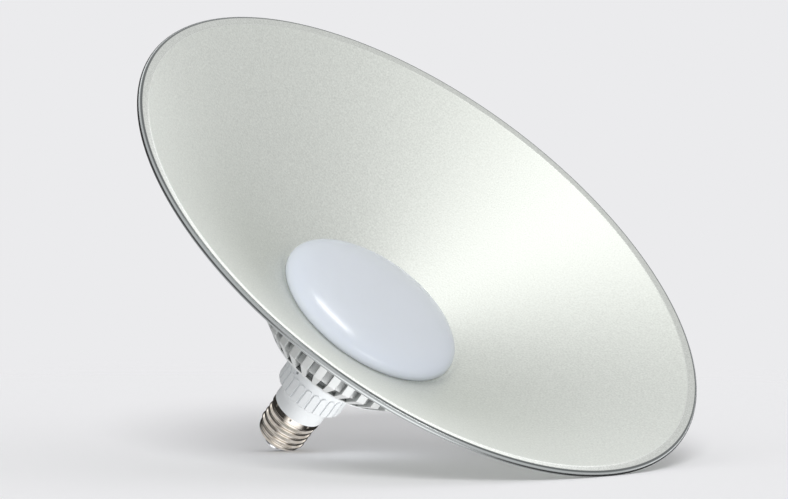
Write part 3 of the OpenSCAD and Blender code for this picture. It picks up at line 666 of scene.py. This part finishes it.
# %% [markdown]
# Two strip lights make the highlights. One hangs over the lamp as the photograph sees it, a
# little to the right, the other stands in front on the right. Their mirror images are the two
# thin arcs on the dome's shoulder, and the first one also gives the bright sector of the cone.
# They light by reflection alone. Matt surfaces see two sun lamps in their place: a key from the
# front, which throws the shadow back under the shade, and a wide soft one from below, the light
# that the white table sends up to the neck.

# %% Lights
STRIP_AWAY = 3.0


def hang(name, kind, toward, strength, **settings):
    """Adds a lamp whose light comes from a direction: a sun, or a lamp STRIP_AWAY m off."""
    light = bpy.data.lights.new(name, kind)
    light.energy = strength
    for setting, value in settings.items():
        setattr(light, setting, value)
    lamp = bpy.data.objects.new(name, light)
    bpy.context.scene.collection.objects.link(lamp)
    facing = toward.to_track_quat("Z", "Y").to_matrix().to_4x4()
    lamp.matrix_world = Matrix.Translation(toward * STRIP_AWAY) @ facing
    return lamp


def strip(name, first, last, width, strength):
    """A long light whose mirror images end at the directions first and last. Its long side, the
    local X, lies along the line from one to the other, and its local Z points away from the
    lamp, because an area lamp shines along -Z."""
    middle, line = (first + last).normalized(), (last - first).normalized()
    lamp = hang(
        name, "AREA", middle, strength,
        shape="RECTANGLE", size=(last - first).length * STRIP_AWAY, size_y=width,
    )
    side = (line - line.dot(middle) * middle).normalized()
    facing = Matrix((side, middle.cross(side), middle)).transposed().to_4x4()
    lamp.matrix_world = Matrix.Translation(middle * STRIP_AWAY) @ facing
    lamp.visible_diffuse = False
    print("strip", name, "is", round(lamp.data.size, 2), "m long")


strip("over", in_view(0.244, 0.969, -0.044), in_view(0.544, 0.800, -0.255), width=0.3, strength=14.5)
strip("front", in_view(0.517, 0.366, -0.774), in_view(0.748, 0.182, -0.639), width=0.2, strength=5)
key = hang("key", "SUN", in_view(-0.02, 0.52, -0.85), 1.8, angle=math.radians(22))
bounce = hang("bounce", "SUN", in_view(0.5, -0.8, -0.33), 2.0, angle=math.radians(55))
for lamp in (key, bounce):
    lamp.visible_glossy = False

# %% [markdown]
# The world is a white room for the camera and a dimmer one for matt surfaces. Polished metal
# needs more than that, because it shows only what it mirrors. For it the room has a bright open
# side, below the shade, a bright ceiling and a bright table in front, with dark walls between
# them, and a glow behind the lamp that lights the flat band inside the rim.

# %% World
BACKDROP = "#EBEBED"
AMBIENT = 0.6
DARK, GLOW, HOT = 0.05, 1.3, 2.4
TABLE, TABLE_EDGE = in_view(-0.2, -0.84, -0.507), (0.72, 1.0)
OPEN_SIDE, CEILING = (0.1, -0.1), (0.58, 0.88)
BAND_FOOT, BAND_TOP, FAR_SIDE = (-0.26, -0.12), (0.03, -0.03), (0.3, 0.7)


def studio_room(tree):
    """Brightness that a mirror finds in each direction: 1 below the rim's plane and overhead, up
    to HOT towards the table, DARK elsewhere, and more by GLOW in a low band on the far side. Each
    pair of numbers says where a soft edge starts and ends: on Z for the open side, the ceiling
    and the band, on Y for the far side, and on the cosine of the angle to the table."""
    toward = add(tree, "TexCoord").outputs["Generated"]
    parts = add(tree, "SeparateXYZ", {0: toward}).outputs
    cosine = add(tree, "VectorMath", {0: toward}, {1: TABLE}, operation="DOT_PRODUCT").outputs["Value"]
    table = rise(tree, cosine, *TABLE_EDGE)
    lit = add(tree, "Math", {0: table}, {1: HOT}, operation="MULTIPLY").outputs[0]
    for side in (OPEN_SIDE, CEILING):
        lit = add(tree, "Math", {0: lit, 1: rise(tree, parts["Z"], *side)}, operation="MAXIMUM").outputs[0]
    shaded = spread(tree, lit, DARK, 1.0, 0.0, 1.0, clamp=False)
    band = rise(tree, parts["Z"], *BAND_FOOT)
    for edge in (rise(tree, parts["Z"], *BAND_TOP), rise(tree, parts["Y"], *FAR_SIDE)):
        band = add(tree, "Math", {0: band, 1: edge}, operation="MULTIPLY").outputs[0]
    return add(tree, "Math", {0: band, 2: shaded}, {1: GLOW}, operation="MULTIPLY_ADD").outputs[0]


def studio_world():
    """The plain backdrop for camera and transmission rays, the room for glossy rays, and AMBIENT
    for the rest."""
    world = bpy.data.worlds.new("studio")
    world.use_nodes = True
    tree = world.node_tree
    tree.nodes.clear()
    ray = add(tree, "LightPath").outputs
    seen = add(
        tree, "Math", {0: ray["Is Camera Ray"], 1: ray["Is Transmission Ray"]}, operation="MAXIMUM",
    ).outputs[0]
    dim = add(tree, "Background", sockets={"Color": linear("#FFFFFF"), "Strength": AMBIENT})
    white = add(tree, "Background", sockets={"Color": linear(BACKDROP), "Strength": 1.0})
    room = add(tree, "Background", {"Strength": studio_room(tree)}, {"Color": linear(BACKDROP)})
    matt = add(tree, "MixShader", {0: ray["Is Glossy Ray"], 1: dim.outputs[0], 2: room.outputs[0]})
    mix = add(tree, "MixShader", {0: seen, 1: matt.outputs[0], 2: white.outputs[0]})
    out = add(tree, "OutputWorld")
    tree.links.new(mix.outputs[0], out.inputs["Surface"])
    print("the world has", len(tree.nodes), "nodes")
    return world


bpy.context.scene.world = studio_world()
bpy.context.scene.view_settings.view_transform = "Standard"
